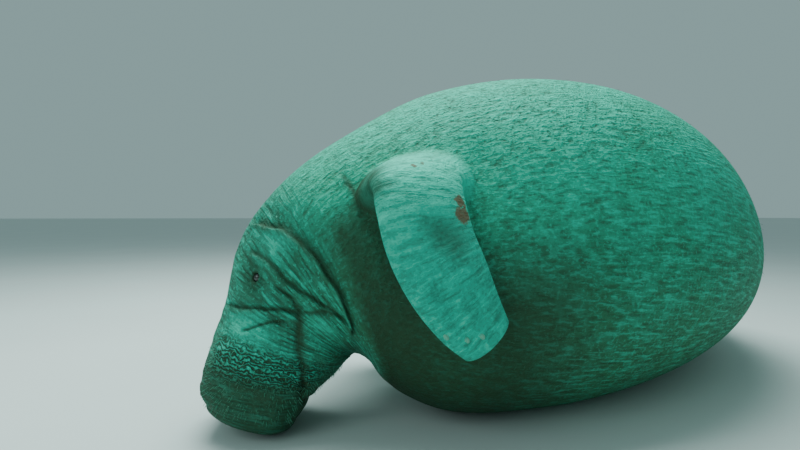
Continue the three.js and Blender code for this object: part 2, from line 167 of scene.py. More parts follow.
# Swellings and hollows, of the head and beside the flipper roots: where, how far they stand out, and
# their reach along and round. Both sides of the body have them.
SWELLINGS = (
    {"at": 185, "turn": 72, "height": 11, "along": 58, "round": 70},
    {"at": 232, "turn": 128, "height": 9, "along": 46, "round": 46},
    {"at": 62, "turn": 22, "height": 6, "along": 26, "round": 34},
    {"at": 318, "turn": 112, "height": 6, "along": 30, "round": 50},
    {"at": 290, "turn": 60, "height": -7, "along": 24, "round": 26},
    {"at": 318, "turn": 70, "height": 6, "along": 22, "round": 40},
    {"at": 404, "turn": 150, "height": 22, "along": 52, "round": 150},
    {"at": 326, "turn": 146, "height": 10, "along": 34, "round": 80},
    {"at": 296, "turn": 98, "height": -9, "along": 9, "round": 14},
    {"at": 310, "turn": 117, "height": 5, "along": 24, "round": 30},
    {"at": 520, "turn": 98, "height": -14, "along": 34, "round": 70},
    {"at": 668, "turn": 80, "height": -7, "along": 22, "round": 46},
)
# Painted highlights on the head, pale where light falls: the smooth band over the upper lip, the lower
# lip's bulge, and the cheek behind the eye.
PAINTED_HIGHLIGHTS = (
    {"at": 214, "turn": 66, "along": 26, "round": 62},
    {"at": 306, "turn": 114, "along": 22, "round": 26},
    {"at": 330, "turn": 62, "along": 26, "round": 30},
)
RELIEF_END = 720
RELIEF_FADE = 30
# Painted shade in the pit at the mouth's corner.
MOUTH_PIT = {"at": 297, "turn": 98, "reach": 9, "depth": 0.9}
# How a fold fades out at its ends, where its raised edge lies as a share of its sharp side, how wide
# the painted shade in its middle is as shares of both sides, how it wavers, and the radius at which
# its length is measured.
FOLD_END = {"before": 4, "fade": 20}
FOLD_EDGE = {"away": 2.2, "width": 1.3}
FOLD_SHADE = {"sharp": 0.8, "slope": 0.2}
FOLD_WAVER = {"size": 5.0, "scale": 0.028, "turn": 0.4, "seed": 5}
HEAD_RADIUS = 140
# The groove and the two pads of the bristly disc between the nostrils and the mouth.
DISC = {"end": 96, "end_fade": 30, "top": 52, "top_fade": 20, "groove": 5, "groove_half": 13}
PADS = {"height": 4, "across": 52, "half": 34}
# Painted shade in a band along the mouth, from its corner forwards along the lips.
MOUTH_BAND = ((MOUTH_CORNER[0] + 6, MOUTH_CORNER[1] - 2), MOUTH_CORNER, (262, 103), (226, 109))
# Painted shade on the hide, and how much. An edge gives its place and the width that it takes: a belt
# lies at a place, past and before bound the zone along the body, above and under bound it round it.
PAINTED_SHADE_ZONES = (
    (0.9, {"belt": (448, 50), "under": (66, 26)}),
    (0.9, {"belt": (506, 44), "under": (72, 16)}),
    (0.8, {"before": (164, 40)}),
    (0.5, {"under": (120, 26), "before": (380, 40)}),
    (0.9, {"under": (94, 30), "before": (1000, 300), "past": (380, 60)}),
)
# Painted shade round the eye and along the mouth.
EYE_PAINTED_SHADE = {"share": 0.7, "reach": 34, "turn": 5}
MOUTH_PAINTED_SHADE = {"share": 0.6, "reach": 7}
# The small ridges over the upper lip, in the same words, where the skin counts as the head's, and
# where its wrinkles begin.
RIDGE_ZONE = {"past": (108, 34), "before": (216, 44), "under": (26, 20), "above": (138, 14)}
HEAD_ZONE = {"before": (440, 90)}
WRINKLE_ZONE = {"past": (40, 60)}
# Wrinkles: how many to a millimetre, along the body and across it, and their height.
HEAD_WRINKLE = {"scale": (0.085, 0.013, 0.013), "height": 1.5, "seed": 3}
LIP_RIDGE = {"scale": (0.13, 0.045, 0.045), "height": 2.2, "seed": 9}
# What the skin's vertices carry: the place on the body drawn out straight; head, painted shade of
# creases and flipper; painted shade, lip ridges and painted highlights.
SKIN_LAYERS = ("straight", "zones", "paint")

EYE = {"at": 290, "turn": 60, "radius": 10.8, "sunk": 6.0}
EYE_CLOUD = (0.030, 0.034, 0.026)
EYELID = {
    "rim": 4.6, "rim_at": 11.5, "rim_width": 4.2, "opening": 7.6, "edge": 2.4, "drop": 13.0,
    "stretch": 1.18, "bulge": 1.08, "shade": 3.0,
}
# The fine creases that run out from the eyelids like rays.
EYE_RAYS = {"height": 0.9, "count": 17, "sway": 2, "sways": 3, "at": 26, "width": 10}
NOSTRIL = {
    "at": 60, "turn": 17, "radius": 15, "slit": 4.5, "depth": 8.0, "rim": 3.0, "rim_away": 2.4,
    "arc": 75, "arc_fade": 18,
}
# How far to each side of a place the skin's direction is read: millimetres along, degrees round.
SKIN_STEP = {"along": 4.0, "round": 2.0}

# The fore-flippers. Each row is out from the body, back and down from the root, half the width and
# half the thickness of the blade there.
FLIPPER_ROOT = {"at": 560, "turn": 79}
BLADE = (
    (-150, 14, 10, 78, 50),
    (-70, 4, 4, 82, 52),
    (0, -6, -2, 84, 50),
    (62, -12, 8, 84, 46),
    (102, -14, 60, 84, 38),
    (122, -2, 125, 84, 29),
    (134, 24, 186, 80, 23),
    (137, 60, 247, 68, 18),
    (134, 97, 294, 54, 13),
)
RIGHT_SWING = {"back": 0.3, "lift": 0.97}
BLADE_TIP = 22
BLADE_TRAILING = 0.42
# The hollow over the wrist, the ridges of the finger bones, and how soon both fade at the edges.
WRIST = {"depth": 5, "along": 0.60, "long": 0.07, "across": 0.15, "wide": 0.35}
FINGERS = {
    "height": 1.6, "count": 9.5, "shift": 0.6, "first": 0.62, "rise": 0.15, "last": 1.02,
    "fall": 0.08,
}
BLADE_FACE = 1.6
# Where a flipper grows out: how much skin along and round the body it takes in. Its rings: where the
# first lies, how many blend into the body, how many run along the blade and over its tip, how many
# are smoothed, and how fast the flipper's own colour sets in.
ROOT_PATCH = {"at": 564, "turn": 82, "along": 90, "round": 15, "lean": 0.05, "pull_end": 2.4}
BLADE_RINGS = {"first": 0.30, "blend": 8, "count": 44, "tip": 9, "smoothed": 10, "zone": 1.4}
# Painted shade of creases round the front of a root: ring, width in rings, strength. Then how far
# in front they begin, as a share of half the blade's width, and the rings of the armpit that get
# painted shade, further in front.
ROOT_CREASES = ((1.5, 2.0, 1.0), (6.0, 1.2, 0.7), (10.0, 1.2, 0.5))
CREASE_FRONT = {"from": 0.3, "fade": 0.5}
ARMPIT = {"rings": 15, "rings_fade": 6, "from": 0.62, "fade": 0.3, "painted_shade": 0.75}
# The nails: place along the blade and across it, and half a nail's width, thickness and length.
NAILS = ((0.88, -0.85), (0.935, -0.5), (0.965, -0.1))
NAIL_HALVES = (4.5, 3.0, 6.5)
# Rust-brown spots, and painted shade in soft dents, on the left flipper: place along it, angle, size.
RUST_SPOTS = ((0.500, 34, 12), (0.555, 36, 17), (0.385, 96, 9), (0.372, 84, 6))
DENTS = ((0.60, 82, 52), (0.645, 62, 46))
# Where bristles and hairs grow: how many on each side, the stretch along and round, length as a share
# of the longest, root radius in millimetres, how far they stand out, the way they lie, and the seed.
BRISTLE_FIELDS = (
    {
        "name": "muzzle_bristles", "slot": "head_skin", "sides": 5, "lie": -3.0,
        "fields": (
            {"count": 430, "at": (52, 196), "turn": (30, 138), "long": 1.0, "radius": 0.85, "stand": 0.75},
            {"count": 110, "at": (108, 196), "turn": (140, 178), "long": 0.6, "radius": 0.6, "stand": 0.6},
            {"count": 60, "at": (196, 300), "turn": (20, 96), "long": 0.55, "radius": 0.4, "stand": 0.45},
        ),
        "seed": 11,
    },
    {
        "name": "body_hairs", "slot": "body_skin", "sides": 3, "lie": 3.0,
        "fields": (
            {"count": 640, "at": (470, 2400), "turn": (4, 136), "long": 1.1, "radius": 0.45, "stand": 0.30},
        ),
        "seed": 12,
    },
)
# Of each bristle: its range of sizes, how far it may lie from its place, how deep it is rooted, the
# tip's share of the root's radius, the height it keeps over the floor, how it leans and droops, and
# the size of its patch on the map.
BRISTLE_SIZES = (0.45, 1.0)
BRISTLE_SCATTER = 3
BRISTLE_ROOT = 3.0
BRISTLE_TAPER = 0.2
BRISTLE_FLOOR = 2.0
BRISTLE_LEAN = 0.4
BRISTLE_DROOP = 0.3
PATCH_ON_MAP = 0.003

# The hide's fine lines: how many to a metre, along the body and across it.
BODY_LINES = (22, 120, 120)
HEAD_LINES = (105, 17, 17)
BLADE_LINES = (24, 120, 24)
# Wavy wrinkles of the head and the upper lip: how they are squeezed, then the scale, distortion and
# detail scale of the bands.
HEAD_WAVES = ((1, 0.30, 0.30), (36.0, 7.0, 1.1))
LIP_WAVES = ((1, 0.80, 0.80), (42.0, 11.0, 2.0))
# Scale, detail and roughness of the hide's patterns, and the scale of its specks.
PATTERNS = {
    "pebbles": (135, 2.0, 0.65), "grain": (330, 1.0, 0.5), "clouds": (5.0, 3.0, 0.55),
    "mottle": (30, 3.0, 0.62),
}
SPECK_SCALE = 17.0
# How deep each pattern of the hide is, in metres.
RELIEF = {
    "lines": 0.0070, "folds": 0.0020, "ridges": 0.0050, "back_pebbles": 0.0034, "pebbles": 0.0026,
    "grain": 0.0014,
}

# The stage: the floor's two colours and half its side in metres, the light of the room, the lamps'
# places and sizes in metres, power in watts and turn in radians, and the camera's place in
# millimetres from the snout, with how far it looks down and turns in degrees.
FLOOR_COLOURS = ((0.60, 0.64, 0.63), (0.66, 0.70, 0.69))
FLOOR_HALF = 80
ROOM_COLOUR = (0.56, 0.84, 0.84, 1)
ROOM_LIGHT = 0.45
LAMP_COLOUR = (0.80, 1.0, 0.97)
LAMPS = (
    {
        "name": "overhead", "place": (-0.9, 0.2, 3.4), "size": 2.6, "power": 210,
        "turn": (0.0, 0.0, 0.0),
    },
    {
        "name": "front_fill", "place": (-3.0, -2.6, 1.8), "size": 2.0, "power": 24,
        "turn": (1.05, 0.0, -0.85),
    },
)
CAMERA = {"place": (22, -1239, 474), "down": 1.07, "turn": -13.5, "sensor": 36}


def curve_through(xs, ys):
    """A smooth curve through points, read at any places along it."""
    xs = np.asarray(xs, float)
    ys = np.asarray(ys, float)
    slopes = np.gradient(ys, xs)
    slopes[1:-1] = (ys[2:] - ys[:-2]) / (xs[2:] - xs[:-2])

    def read(x):
        i = np.clip(np.searchsorted(xs, x, side="right") - 1, 0, len(xs) - 2)
        run = xs[i + 1] - xs[i]
        t = np.clip((x - xs[i]) / run, 0, 1)
        rise = ys[i + 1] - ys[i]
        start = slopes[i] * run
        end = slopes[i + 1] * run
        return ys[i] + t * (start + t * (3 * rise - 2 * start - end + t * (start + end - 2 * rise)))

    return read


SECTION = {
    key: curve_through([row[0] for row in SECTIONS], [row[i] for row in SECTIONS])
    for i, key in enumerate(SECTION_KEYS) if i > 0
}


def axis_points():
    """Points of the body's axis, walked back from the snout in short steps."""
    middles = np.arange(0, LENGTH, AXIS_STEP) + AXIS_STEP / 2
    pitch = np.radians(SECTION["pitch"](middles))
    heading = np.radians(SECTION["heading"](middles))
    way = np.stack(
        (np.cos(heading) * np.cos(pitch), np.sin(heading) * np.cos(pitch), -np.sin(pitch)), axis=1
    )
    start = np.array([[0.0, 0.0, SNOUT_HEIGHT]])
    return np.concatenate((start, start + np.cumsum(way * AXIS_STEP, axis=0)))


AXIS = axis_points()
AXIS_PLACES = np.arange(len(AXIS)) * AXIS_STEP


def axis_point(at):
    """Points of the axis at each place along it."""
    return np.stack([np.interp(at, AXIS_PLACES, AXIS[:, k]) for k in range(3)], axis=-1)


def section_frame(at):
    """The left side, the back and the way forward of the body's section at each place."""
    tilt = np.radians(SECTION["tilt"](at))
    heading = np.radians(SECTION["heading"](at))
    roll = np.radians(SECTION["roll"](at))
    nought = np.zeros_like(tilt)
    side = np.stack((np.sin(heading), -np.cos(heading), nought), axis=-1)
    spine = np.stack(
        (np.cos(heading) * np.sin(tilt), np.sin(heading) * np.sin(tilt), np.cos(tilt)), axis=-1
    )
    left = np.cos(roll)[..., None] * side + np.sin(roll)[..., None] * spine
    back = np.cos(roll)[..., None] * spine - np.sin(roll)[..., None] * side
    return left, back, np.cross(left, back)


def swell(x):
    """A soft bump, 1 at nought and next to nothing past 2."""
    return np.exp(-x * x)


def ease(x):
    """Rises smoothly from 0 at nought to 1 at 1."""
    x = np.clip(x, 0, 1)
    return x * x * (3 - 2 * x)


def fold_distance(at, turn, line, radius):
    """Distance from each place to a line on the skin, which side it is on, and how near its ends."""
    best = np.full(at.shape, np.inf)
    side = np.zeros(at.shape)
    near_end = np.zeros(at.shape)
    lengths = [0.0]
    for (a0, t0), (a1, t1) in zip(line, line[1:]):
        lengths.append(lengths[-1] + math.hypot(a1 - a0, math.radians(t1 - t0) * HEAD_RADIUS))
    for k, ((a0, t0), (a1, t1)) in enumerate(zip(line, line[1:])):
        du = a1 - a0
        dv = np.radians(t1 - t0) * radius
        pu = at - a0
        pv = np.radians(turn - t0) * radius
        t = np.clip((pu * du + pv * dv) / (du * du + dv * dv), 0, 1)
        away = np.hypot(pu - t * du, pv - t * dv)
        nearer = away < best
        best = np.where(nearer, away, best)
        side = np.where(nearer, np.sign(pu * dv - pv * du), side)
        along = lengths[k] + t * (lengths[k + 1] - lengths[k])
        near_end = np.where(nearer, np.minimum(along, lengths[-1] - along), near_end)
    return best, side, near_end


def head_relief(at, turn, waver=0.0):
    """How far the skin stands out from the plain section, and how deep in a fold it lies, for painted
    shade.
    """
    folded = np.abs(turn)
    radius = SECTION["half"](np.maximum(at, SNOUT_DOME))
    height = np.zeros(at.shape)
    pit_round = np.radians(folded - MOUTH_PIT["turn"]) * radius
    crease = MOUTH_PIT["depth"] * swell(np.hypot(at - MOUTH_PIT["at"], pit_round) / MOUTH_PIT["reach"])
    for s in SWELLINGS:
        height += s["height"] * swell((at - s["at"]) / s["along"]) * swell(
            np.radians(folded - s["turn"]) * radius / s["round"]
        )
    for f in FOLDS:
        wavy_turn = folded + FOLD_WAVER["turn"] * waver
        away, side, near_end = fold_distance(at + waver, wavy_turn, f["line"], radius)
        fade = ease((near_end + FOLD_END["before"]) / FOLD_END["fade"])
        reach = np.where(side < 0, f["sharp"], f["slope"])
        height -= f["depth"] * swell(away / reach) * fade
        shade_reach = FOLD_SHADE["sharp"] * f["sharp"] + FOLD_SHADE["slope"] * f["slope"]
        crease = np.maximum(crease, swell(away / shade_reach) * fade)
        edge = swell((away - FOLD_EDGE["away"] * f["sharp"]) / (FOLD_EDGE["width"] * f["sharp"]))
        height += f["lip"] * edge * fade * (side < 0)
    across = radius * np.sin(np.radians(folded))
    under = np.where(folded > 90, 1.0, ease((DISC["top"] - at) / DISC["top_fade"]))
    disc = ease((DISC["end"] - at) / DISC["end_fade"]) * under
    height -= DISC["groove"] * swell(across / DISC["groove_half"]) * disc
    height += PADS["height"] * swell((across - PADS["across"]) / PADS["half"]) * disc
    near = ease((RELIEF_END - at) / RELIEF_FADE)
    return height * near, crease * near


def eyelid_relief(at, turn):
    """The round rim of the eyelids, the opening that shows the eyeball, and painted shade at its edge."""
    radius = math.radians(1) * float(SECTION["half"](EYE["at"])) * EYELID["bulge"]
    du = at - EYE["at"]
    dv = (np.abs(turn) - EYE["turn"]) * radius
    away = np.hypot(du * EYELID["stretch"], dv)
    rim = EYELID["rim"] * swell((away - EYELID["rim_at"]) / EYELID["rim_width"])
    angle = np.arctan2(dv, du)
    sway = EYE_RAYS["sway"] * np.sin(EYE_RAYS["sways"] * angle)
    rays = EYE_RAYS["height"] * np.sin(EYE_RAYS["count"] * angle + sway)
    rays = rays * swell((away - EYE_RAYS["at"]) / EYE_RAYS["width"])
    opening = ease((EYELID["opening"] - away) / EYELID["edge"])
    return rim + rays - EYELID["drop"] * opening, swell((away - EYELID["opening"]) / EYELID["shade"])


def nostril_relief(at, turn):
    """A crescent slit with a raised rim on each side of the snout's top, and painted shade in the slit."""
    radius = math.radians(1) * float(SECTION["half"](NOSTRIL["at"]))
    du = at - NOSTRIL["at"]
    dv = (np.abs(turn) - NOSTRIL["turn"]) * radius
    away = np.abs(np.hypot(du, dv) - NOSTRIL["radius"])
    arc = ease((NOSTRIL["arc"] - np.abs(np.degrees(np.arctan2(dv, du)))) / NOSTRIL["arc_fade"])
    slit = swell(away / NOSTRIL["slit"]) * arc
    rim = swell((away - NOSTRIL["rim_away"] * NOSTRIL["slit"]) / NOSTRIL["slit"]) * arc
    return NOSTRIL["rim"] * rim - NOSTRIL["depth"] * slit, slit


def dome_taper(at):
    """How far the skin draws in at each end of the body, as a share of its full section."""
    front = np.sqrt(np.clip(1 - np.clip(1 - at / SNOUT_DOME, 0, 1) ** 2, 0, 1))
    rest = np.clip(1 - (LENGTH - at) / TAIL_DOME, 0, 1)
    return front * np.sqrt(1 - rest ** 2)


def section_reach(at, turn, stand_out):
    """Sideways and upward reach of the skin in its own section."""
    place = np.maximum(at, SNOUT_DOME)
    angle = np.radians(turn)
    exponent = 2 / SECTION["square"](place)
    tall = np.where(np.cos(angle) > 0, SECTION["up"](place), SECTION["down"](place))
    u = SECTION["half"](place) * np.sign(np.sin(angle)) * np.abs(np.sin(angle)) ** exponent
    v = tall * np.sign(np.cos(angle)) * np.abs(np.cos(angle)) ** exponent
    reach = np.hypot(u, v)
    grown = (reach + stand_out) / reach * dome_taper(at)
    return u * grown, v * grown


def skin_point(at, turn, stand_out=0.0):
    """Places on the skin in millimetres, from distance along the body and degrees from the back."""
    at = np.asarray(at, float)
    left, back, _ = section_frame(at)
    u, v = section_reach(at, np.asarray(turn, float), stand_out)
    return axis_point(at) + left * u[..., None] + back * v[..., None]


def rough_skin(at, turn):
    """Places on the skin with its folds, without the fine wrinkles."""
    return skin_point(at, turn, head_relief(np.asarray(at, float), np.asarray(turn, float))[0])


def skin_normals(at, turn):
    """Unit vectors out of the skin at several places."""
    step, swing = SKIN_STEP["along"], SKIN_STEP["round"]
    along = rough_skin(at + step, turn) - rough_skin(at - step, turn)
    round_it = rough_skin(at, turn + swing) - rough_skin(at, turn - swing)
    normals = np.cross(round_it, along)
    return normals / np.linalg.norm(normals, axis=1)[:, None]


def eye_centre(side):
    """The middle of an eyeball, sunk under the skin."""
    at = np.array([EYE["at"]], float)
    turn = np.array([side * EYE["turn"]], float)
    return (rough_skin(at, turn) - skin_normals(at, turn) * EYE["sunk"])[0]


def frame_shift():
    """How far the CAD model was moved to put the origin under its middle, from its left eye."""
    low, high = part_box("left_eye")
    middle = (np.array(low) + np.array(high)) / 2
    shift = middle / MM - eye_centre(1)
    shift[2] = 0
    return shift


SHIFT = frame_shift()


def flipper_path(side):
    """The points that a flipper's middle line goes through, from inside the body to its tip."""
    root_at = np.array([float(FLIPPER_ROOT["at"])])
    root = skin_point(root_at, np.array([side * FLIPPER_ROOT["turn"]], float))[0]
    left, _, forward = (way[0] for way in section_frame(root_at))
    out = np.array([left[0], left[1], 0.0]) * side
    out /= np.linalg.norm(out)
    back = -np.array([forward[0], forward[1], 0.0])
    back /= np.linalg.norm(back)
    points = []
    for reach, behind, down, _, _ in BLADE:
        swing = RIGHT_SWING["back"] * max(down, 0) if side < 0 else 0
        drop = down * RIGHT_SWING["lift"] if side < 0 else down
        points.append(root + out * reach + back * (behind + swing) - np.array([0, 0, drop]))
    return np.array(points), -forward


def spline_point(points, t):
    """A centripetal Catmull-Rom spline through points, read at t from 0 to 1."""
    last = len(points) - 1
    i = int(min(max(math.floor(t * last), 0), last - 1))
    weight = t * last - i
    p1, p2 = points[i], points[i + 1]
    p0 = points[i - 1] if i > 0 else 2 * p1 - p2
    p3 = points[i + 2] if i + 2 <= last else 2 * p2 - p1
    spans = ((p0, p1), (p1, p2), (p2, p3))
    d0, d1, d2 = (max(np.linalg.norm(b - a) ** 0.5, 1e-6) for a, b in spans)
    start = ((p1 - p0) / d0 - (p2 - p0) / (d0 + d1) + (p2 - p1) / d1) * d1
    end = ((p2 - p1) / d1 - (p3 - p1) / (d1 + d2) + (p3 - p2) / d2) * d1
    bend = -3 * p1 + 3 * p2 - 2 * start - end
    turn = 2 * p1 - 2 * p2 + start + end
    return p1 + weight * (start + weight * (bend + weight * turn))


class Blade:
    """One fore-flipper's middle line, width and thickness."""

    def __init__(self, side):
        self.side = side
        self.points, self.back = flipper_path(side)
        share = np.linspace(0, 1, len(BLADE))
        self.half = curve_through(share, [row[3] for row in BLADE])
        self.thick = curve_through(share, [row[4] for row in BLADE])

    def frame(self, t):
        """Middle, way along, way across (towards the tail) and outward face at t."""
        inside = min(t, 1.0)
        step = 1e-3
        ahead = spline_point(self.points, min(inside + step, 1))
        tangent = ahead - spline_point(self.points, inside - step)
        tangent /= np.linalg.norm(tangent)
        middle = spline_point(self.points, inside)
        across = self.back - tangent * np.dot(self.back, tangent)
        across /= np.linalg.norm(across)
        face = np.cross(tangent, across) * self.side
        return middle, tangent, across, face

    def ring(self, t, angles, tip_share=0.0):
        """Points round the blade at t, or past its end by a share of the tip."""
        middle, tangent, across, face = self.frame(t)
        middle = middle + tangent * BLADE_TIP * tip_share
        taper = math.sqrt(max(0.0, 1 - tip_share ** 2))
        x = np.cos(angles)
        half = float(self.half(np.array(min(t, 1.0)))) * taper
        thick = float(self.thick(np.array(min(t, 1.0)))) * taper
        thin = 1 - BLADE_TRAILING * (x + 1) / 2
        lift = thick * thin * np.sin(angles)
        lift = lift + self.relief(t, x, np.sin(angles)) * taper
        return middle + np.outer(half * x, across) + np.outer(lift, face)

    def relief(self, t, x, rise):
        """The hollow over the wrist and the low ridges of the finger bones, on both faces."""
        hollow = -WRIST["depth"] * swell((t - WRIST["along"]) / WRIST["long"])
        hollow = hollow * swell((x - WRIST["across"]) / WRIST["wide"])
        fingers = FINGERS["height"] * np.cos(x * FINGERS["count"] + FINGERS["shift"])
        fingers = fingers * ease((t - FINGERS["first"]) / FINGERS["rise"])
        fingers = fingers * ease((FINGERS["last"] - t) / FINGERS["fall"])
        return (hollow + fingers) * np.clip(rise * BLADE_FACE, -1, 1)


def ring_places():
    """Distances along the body of the skin's rings."""
    snout = SNOUT_DOME * (1 - np.cos(np.linspace(0, math.pi / 2, SNOUT_RINGS + 1)))
    tail = LENGTH - TAIL_DOME * (1 - np.cos(np.linspace(math.pi / 2, 0, TAIL_RINGS + 1)))
    fine = np.arange(SNOUT_DOME, LENGTH - TAIL_DOME + 1)
    spacing = np.interp(fine, [s[0] for s in RING_SPACING], [s[1] for s in RING_SPACING])
    passed = np.concatenate(([0], np.cumsum(1 / spacing[:-1])))
    count = int(round(passed[-1]))
    middle = np.interp(np.linspace(0, passed[-1], count + 1), passed, fine)
    return np.concatenate((snout, middle[1:-1], tail))


def column_turns():
    """Degrees round from the back of the skin's columns, closer together at the eyes."""
    fine = np.linspace(-180, 180, 3601)
    away = np.abs(fine)
    density = 1 + CLOSER["eye"] * swell((away - EYE["turn"]) / CLOSER["eye_half"])
    density += CLOSER["mouth"] * swell((away - MOUTH_CORNER[1]) / CLOSER["mouth_half"])
    density -= WIDER["share"] * ease((away - WIDER["from"]) / WIDER["fade"])
    passed = np.concatenate(([0], np.cumsum((density[1:] + density[:-1]) / 2)))
    return np.interp(np.linspace(0, passed[-1], COLUMNS + 1), passed, fine)


def soft_noise(points, scale, seed):
    """Smooth noise from about -1 to 1 at each point."""
    shift = Vector((seed * 7.3, seed * 1.7, seed * 3.1))
    return np.array([noise.noise(Vector(p) * scale + shift) for p in points])


def soft_zone(zone, at, around):
    """How fully each place lies in a zone, which its soft edges bound."""
    share = 1.0
    for edge, (place, width) in zone.items():
        if edge == "belt":
            share = share * swell((at - place) / width)
        elif edge == "past":
            share = share * ease((at - place) / width)
        elif edge == "before":
            share = share * ease((place - at) / width)
        elif edge == "under":
            share = share * ease((around - place) / width)
        else:
            share = share * ease((place - around) / width)
    return share


def painted_zones(at, turn):
    """How much painted shade the hide gets, where the small ridges of the upper lip run, and its painted
    highlights.
    """
    around = np.abs(turn)
    radius = SECTION["half"](np.maximum(at, SNOUT_DOME))
    light = 1.0
    for share, zone in PAINTED_SHADE_ZONES:
        light = light * (1 - share * soft_zone(zone, at, around))
    eye_round = np.radians(around - EYE["turn"] + EYE_PAINTED_SHADE["turn"]) * radius
    eye_away = np.hypot(at - EYE["at"], eye_round)
    mouth_away, _, _ = fold_distance(at, around, MOUTH_BAND, radius)
    light = light * (1 - EYE_PAINTED_SHADE["share"] * swell(eye_away / EYE_PAINTED_SHADE["reach"]))
    light = light * (1 - MOUTH_PAINTED_SHADE["share"] * swell(mouth_away / MOUTH_PAINTED_SHADE["reach"]))
    ridges = soft_zone(RIDGE_ZONE, at, around)
    pale = np.zeros(at.shape)
    for p in PAINTED_HIGHLIGHTS:
        round_it = np.radians(around - p["turn"]) * radius / p["round"]
        away = np.hypot((at - p["at"]) / p["along"], round_it)
        pale = np.maximum(pale, swell(away))
    return np.clip(1 - light, 0, 1), ridges, pale


def body_skin_values(at, turn):
    """Where the skin goes, its straightened coordinates, and its two sets of zones."""
    in_front = at < RELIEF_END
    u, v = section_reach(at, turn, 0.0)
    straight = np.stack((at, u, v), axis=1)

    def front_noise(scale, seed):
        values = np.zeros(at.shape)
        values[in_front] = soft_noise((straight * scale)[in_front], 1.0, seed)
        return values

    waver = np.zeros(at.shape)
    wavering = soft_noise(straight[in_front], FOLD_WAVER["scale"], FOLD_WAVER["seed"])
    waver[in_front] = FOLD_WAVER["size"] * wavering
    relief, crease = head_relief(at, turn, waver)
    on_snout = at < 2 * NOSTRIL["at"]
    lid, lid_edge = eyelid_relief(at, turn)
    slit, slit_edge = nostril_relief(at, turn)
    head = soft_zone(HEAD_ZONE, at, turn)
    painted_shade, ridges, pale = painted_zones(at, turn)
    wrinkle = front_noise(HEAD_WRINKLE["scale"], HEAD_WRINKLE["seed"])
    crinkle = front_noise(LIP_RIDGE["scale"], LIP_RIDGE["seed"])
    height = relief + np.where(in_front, lid, 0) + np.where(on_snout, slit, 0)
    wrinkled = HEAD_WRINKLE["height"] * wrinkle * head * soft_zone(WRINKLE_ZONE, at, turn)
    height += wrinkled + LIP_RIDGE["height"] * crinkle * ridges
    points = skin_point(at, turn, height)
    # The eyelids' opening and the nostril slits add to the painted shade of the folds.
    crease = np.maximum(crease, np.where(in_front, lid_edge, 0))
    crease = np.maximum(crease, np.where(on_snout, slit_edge, 0))
    zones = np.stack((head, crease, np.zeros(at.shape)), axis=1)
    paint = np.stack((painted_shade, ridges, pale), axis=1)
    return points, straight, zones, paint


def round_root(at, turn, side, rings, turns, row, col):
    """Draws a square patch of the grid in to an oval, where a flipper grows out of it."""
    middle_row = int(np.argmin(np.abs(rings - ROOT_PATCH["at"])))
    middle_col = int(np.argmin(np.abs(turns - side * ROOT_PATCH["turn"])))
    near_rings = np.abs(rings - ROOT_PATCH["at"]) < ROOT_PATCH["along"]
    near_turns = np.abs(turns - side * ROOT_PATCH["turn"]) < ROOT_PATCH["round"]
    cells_along = int(np.count_nonzero(near_rings) // 2)
    cells_round = int(np.count_nonzero(near_turns) // 2)
    p = (row - middle_row) / cells_along
    q = (col - middle_col) / cells_round
    square = np.maximum(np.abs(p), np.abs(q))
    round_away = np.maximum(np.hypot(p, q), 1e-6)
    oval_p = p / round_away * square
    oval_q = q / round_away * square
    oval_at = ROOT_PATCH["at"] + oval_p * ROOT_PATCH["along"]
    lean = ROOT_PATCH["lean"] * (oval_at - ROOT_PATCH["at"])
    oval_turn = side * (ROOT_PATCH["turn"] + lean) + oval_q * ROOT_PATCH["round"]
    pull = ease((ROOT_PATCH["pull_end"] - square) / (ROOT_PATCH["pull_end"] - 1))
    return at + (oval_at - at) * pull, turn + (oval_turn - turn) * pull, square < 1 + 1e-6


def draw_body(bm, layers):
    """Wraps a grid round the body, and closes it along the belly and at both ends."""
    rings = ring_places()
    turns = column_turns()
    bmesh.ops.create_grid(bm, x_segments=len(rings) - 1, y_segments=len(turns) - 1, size=1)
    verts = list(bm.verts)
    flat = np.array([v.co[:2] for v in verts])
    row = np.rint((flat[:, 0] + 1) / 2 * (len(rings) - 1)).astype(int)
    col = np.rint((flat[:, 1] + 1) / 2 * (len(turns) - 1)).astype(int)
    at, turn = rings[row], turns[col]
    inside = {}
    for side in (1, -1):
        at, turn, inside[side] = round_root(at, turn, side, rings, turns, row, col)
    points, straight, zones, paint = body_skin_values(at, turn)
    for i, v in enumerate(verts):
        v.co = points[i]
        v[layers["straight"]] = straight[i] * MM
        v[layers["zones"]] = zones[i]
        v[layers["paint"]] = paint[i]
    patches = {}
    for side in (1, -1):
        picked = {verts[i] for i in np.nonzero(inside[side])[0]}
        patches[side] = [f for f in bm.faces if all(v in picked for v in f.verts)]
    return patches


def boundary_loop(faces):
    """The edges round a patch of faces, in order, as vertices."""
    chosen = set(faces)
    follow = {}
    for face in faces:
        for loop in face.loops:
            others = [f for f in loop.edge.link_faces if f not in chosen]
            if others:
                follow[loop.vert] = loop.link_loop_next.vert
    start = next(iter(follow))
    ordered = [start]
    while follow[ordered[-1]] is not start:
        ordered.append(follow[ordered[-1]])
    return ordered


